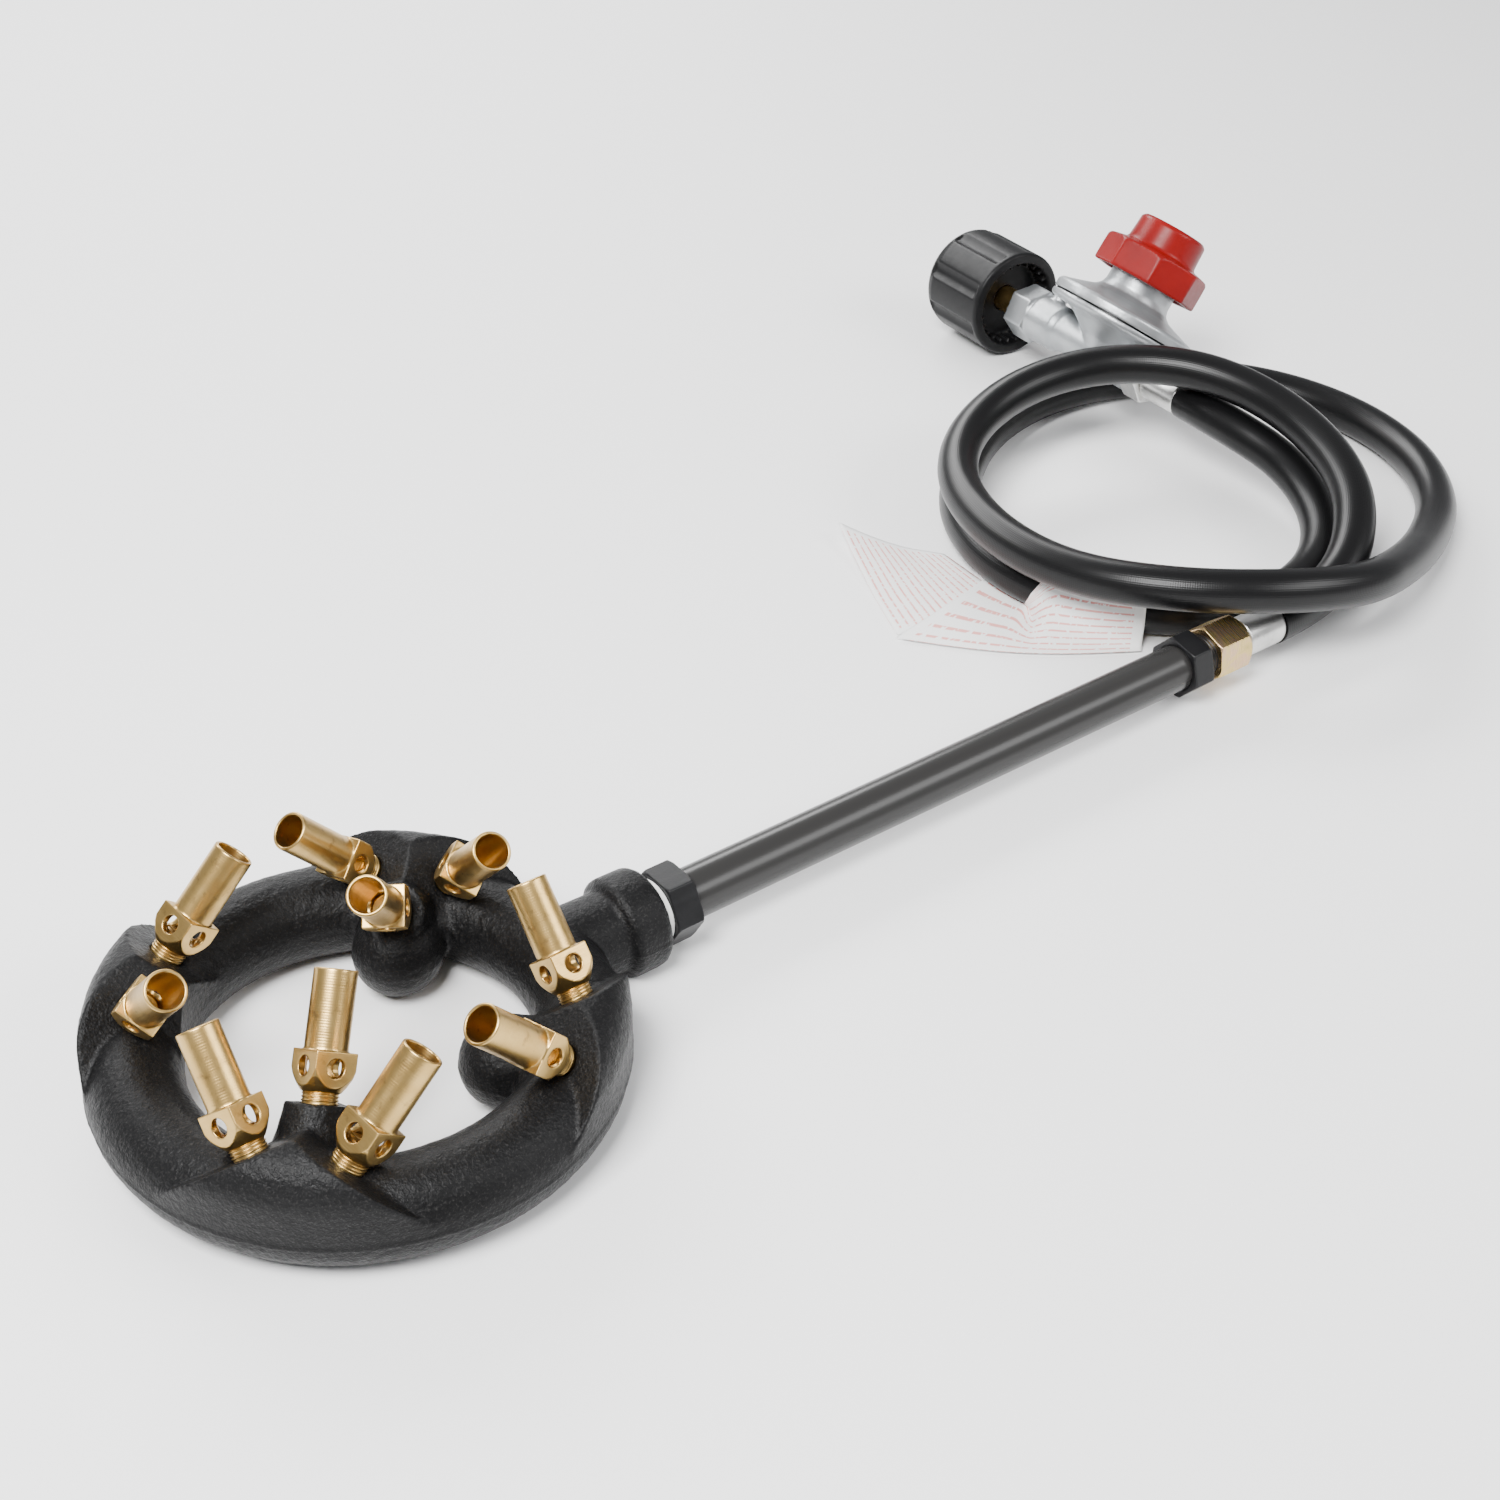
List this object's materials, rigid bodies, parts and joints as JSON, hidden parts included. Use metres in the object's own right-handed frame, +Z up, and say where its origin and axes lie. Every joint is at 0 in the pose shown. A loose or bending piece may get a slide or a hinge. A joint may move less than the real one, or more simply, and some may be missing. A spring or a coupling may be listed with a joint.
{
  "type": "propane ring burner",
  "caption": "Cast ring gas burner with angled brass jets, a feed pipe, a coiled rubber hose and an adjustable cylinder regulator with a red knob.",
  "frame": {"origin": "centre of the burner ring, on the plane that its flat underside rests on", "axes": "+X along the feed pipe from the ring towards the hose, +Z up, +Y completes a right-handed frame"},
  "size_m": [0.6459, 0.3644, 0.0852],
  "materials": {
    "cast_iron": "rough as-cast, dark grey",
    "brass": "machined, lightly dulled",
    "black_steel": "satin black oxide",
    "pipe_black": "semi-gloss dark lacquer",
    "yellow_zinc": "yellow zinc plate, machined",
    "bright_steel": "bright zinc plate, crimped",
    "spring_steel": "plain",
    "hose_rubber": "smooth satin black",
    "seal_rubber": "moulded",
    "zinc_casting": "die cast, fine matt grain",
    "red_plastic": "satin moulded red",
    "black_plastic": "satin moulded black",
    "ptfe": "soft white tape",
    "tag_paper": "white, plain"
  },
  "bodies": {
    "burner": {"burner_ring": "cast_iron", "diaphragm": "seal_rubber", "diaphragm_plate": "bright_steel", "feed_pipe": "pipe_black", "ferrule_burner_end": "bright_steel", "ferrule_regulator_end": "bright_steel", "hose": "hose_rubber", "hose_adapter": "black_steel", "hose_stem": "yellow_zinc", "hose_tag": "tag_paper", "inlet_bushing": "black_steel", "inlet_nipple": "brass", "jet_01": "brass", "jet_02": "brass", "jet_03": "brass", "jet_04": "brass", "jet_05": "brass", "jet_06": "brass", "jet_07": "brass", "jet_08": "brass", "jet_09": "brass", "jet_10": "brass", "nipple_seal": "seal_rubber", "orifice_screws": "brass", "outlet_fitting": "bright_steel", "regulating_spring": "spring_steel", "regulator_body": "zinc_casting", "regulator_bonnet": "zinc_casting", "thread_seal_tape": "ptfe", "valve_seat": "brass"},
    "swivel_nut": {"swivel_nut": "yellow_zinc"},
    "tank_nut": {"tank_nut": "black_plastic"},
    "spring_seat": {"spring_button": "bright_steel"},
    "knob": {"adjusting_knob": "red_plastic", "adjusting_screw": "bright_steel"}
  },
  "joints": [
    {"name": "tank_nut_turn", "type": "hinge", "parent": "burner", "child": "tank_nut", "pos_m": [0.49295, 0.2641, 0.02466], "axis": [-0.0976, -0.995, 0.0215], "continuous": true},
    {"name": "swivel_nut_turn", "type": "hinge", "parent": "burner", "child": "swivel_nut", "pos_m": [0.3617, 0, 0.0136], "axis": [1, 0, 0], "continuous": true},
    {"name": "screw_travel", "type": "slide", "parent": "burner", "child": "spring_seat", "axis": [0.5583, -0.0369, 0.8288], "range_m": [-0.00301, 0.00151], "deforming": ["regulating_spring"]},
    {"name": "knob_turn", "type": "hinge", "parent": "spring_seat", "child": "knob", "pos_m": [0.50734, 0.18163, 0.05956], "axis": [0.5583, -0.0369, 0.8288], "range_deg": [-720, 360]}
  ],
  "couplings": [
    {"joint": "screw_travel", "follows": "knob_turn", "m_per_rad": 0.00023873}
  ]
}
